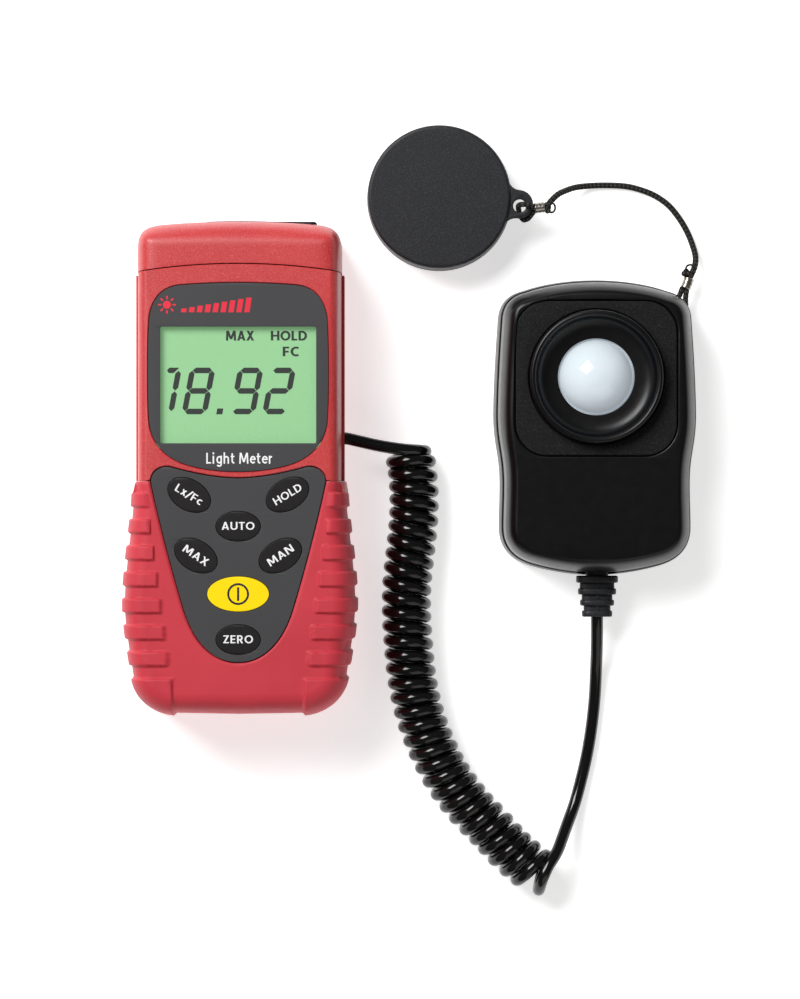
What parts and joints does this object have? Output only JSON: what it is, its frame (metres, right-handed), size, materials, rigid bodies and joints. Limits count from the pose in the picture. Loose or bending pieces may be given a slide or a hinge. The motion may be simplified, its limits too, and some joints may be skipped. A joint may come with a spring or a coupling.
{
  "type": "light meter",
  "caption": "Hand-held light meter with display, keypad and rubber grip, a domed light sensor on a curly lead, and a dome cap tied on by a braided lanyard.",
  "frame": {"origin": "centre of the flat back of the meter, on the surface it rests on", "axes": "+Z out of the display side, +Y towards the top of the display, +X towards the sensor head lying beside the meter"},
  "size_m": [0.1555, 0.2071, 0.0374],
  "materials": {
    "red_case": "satin moulded ABS with a fine texture",
    "red_rubber": "matt elastomer grip",
    "black_plastic": "satin black moulded plastic",
    "black_rubber": "smooth black cable jacket",
    "panel_grey": "printed overlay",
    "key_black": "moulded key with a printed label",
    "key_yellow": "moulded key with a printed label",
    "clear_window": "clear acrylic",
    "lcd_green": "reflective display glass",
    "board_green": "solder mask",
    "switch_metal": "stamped metal",
    "battery_skin": "plain printed battery jacket",
    "screw_steel": "zinc plated",
    "nickel": "crimped nickel-plated sleeve",
    "opal_dome": "translucent opal diffuser",
    "filter_glass": "colour-correcting filter",
    "braid_black": "braided cord"
  },
  "bodies": {
    "meter": {"rear_case": "red_case", "front_case": "red_case", "top_end_cap": "red_case", "grip_boot": "red_rubber", "end_plate": "black_plastic", "lcd_frame": "black_plastic", "battery_snap": "black_plastic", "cable_gland": "black_plastic", "output_jack": "black_plastic", "lead_start": "black_rubber", "lead_coil": "black_rubber", "display_bezel": "panel_grey", "keypad_faceplate": "panel_grey", "zebra_strip_lower": "panel_grey", "zebra_strip_upper": "panel_grey", "display_window": "clear_window", "lcd_panel": "lcd_green", "main_board": "board_green", "switch_units": "switch_metal", "switch_hold": "switch_metal", "switch_auto": "switch_metal", "switch_max": "switch_metal", "switch_man": "switch_metal", "switch_power": "switch_metal", "switch_zero": "switch_metal", "battery_9v": "battery_skin", "case_screw_1": "screw_steel", "case_screw_2": "screw_steel", "case_screw_3": "screw_steel", "case_screw_4": "screw_steel", "jack_collar": "nickel"},
    "sensor_head": {"sensor_rear_shell": "black_plastic", "sensor_front_shell": "black_plastic", "sensor_face_panel": "black_plastic", "sensor_ring": "black_plastic", "diffuser_dome": "opal_dome", "photopic_filter": "filter_glass", "photodiode": "black_plastic", "sensor_board": "board_green", "sensor_strain_relief": "black_rubber", "sensor_screw_1": "screw_steel", "sensor_screw_2": "screw_steel", "ferrule_head_side": "nickel", "lanyard_loop_head": "braid_black", "lanyard_cord": "braid_black", "lead_tail": "black_rubber"},
    "dome_cap": {"dome_cap": "black_plastic", "lanyard_loop_cap": "braid_black", "ferrule_cap_side": "nickel"},
    "battery_door": {"battery_door": "red_case"},
    "key_units": {"key_units": "key_black"},
    "key_hold": {"key_hold": "key_black"},
    "key_auto": {"key_auto": "key_black"},
    "key_max": {"key_max": "key_black"},
    "key_man": {"key_man": "key_black"},
    "key_power": {"key_power": "key_yellow"},
    "key_zero": {"key_zero": "key_black"}
  },
  "joints": [
    {"name": "key_units_press", "type": "slide", "parent": "meter", "child": "key_units", "axis": [0, 0, -1], "range_m": [0, 0.0008], "stiffness_N_per_m": 600, "springref_m": -0.0005},
    {"name": "key_hold_press", "type": "slide", "parent": "meter", "child": "key_hold", "axis": [0, 0, -1], "range_m": [0, 0.0008], "stiffness_N_per_m": 600, "springref_m": -0.0005},
    {"name": "key_auto_press", "type": "slide", "parent": "meter", "child": "key_auto", "axis": [0, 0, -1], "range_m": [0, 0.0008], "stiffness_N_per_m": 600, "springref_m": -0.0005},
    {"name": "key_max_press", "type": "slide", "parent": "meter", "child": "key_max", "axis": [0, 0, -1], "range_m": [0, 0.0008], "stiffness_N_per_m": 600, "springref_m": -0.0005},
    {"name": "key_man_press", "type": "slide", "parent": "meter", "child": "key_man", "axis": [0, 0, -1], "range_m": [0, 0.0008], "stiffness_N_per_m": 600, "springref_m": -0.0005},
    {"name": "key_power_press", "type": "slide", "parent": "meter", "child": "key_power", "axis": [0, 0, -1], "range_m": [0, 0.0008], "stiffness_N_per_m": 600, "springref_m": -0.0005},
    {"name": "key_zero_press", "type": "slide", "parent": "meter", "child": "key_zero", "axis": [0, 0, -1], "range_m": [0, 0.0008], "stiffness_N_per_m": 600, "springref_m": -0.0005},
    {"name": "battery_door_lift", "type": "slide", "parent": "meter", "child": "battery_door", "axis": [0, 0, -1], "range_m": [0, 0.02]},
    {"name": "sensor_lift", "type": "slide", "parent": "meter", "child": "sensor_head", "axis": [0, 0, 1], "range_m": [0, 0.06]},
    {"name": "cap_lift", "type": "slide", "parent": "sensor_head", "child": "dome_cap", "axis": [0, 0, 1], "range_m": [0, 0.04]}
  ]
}
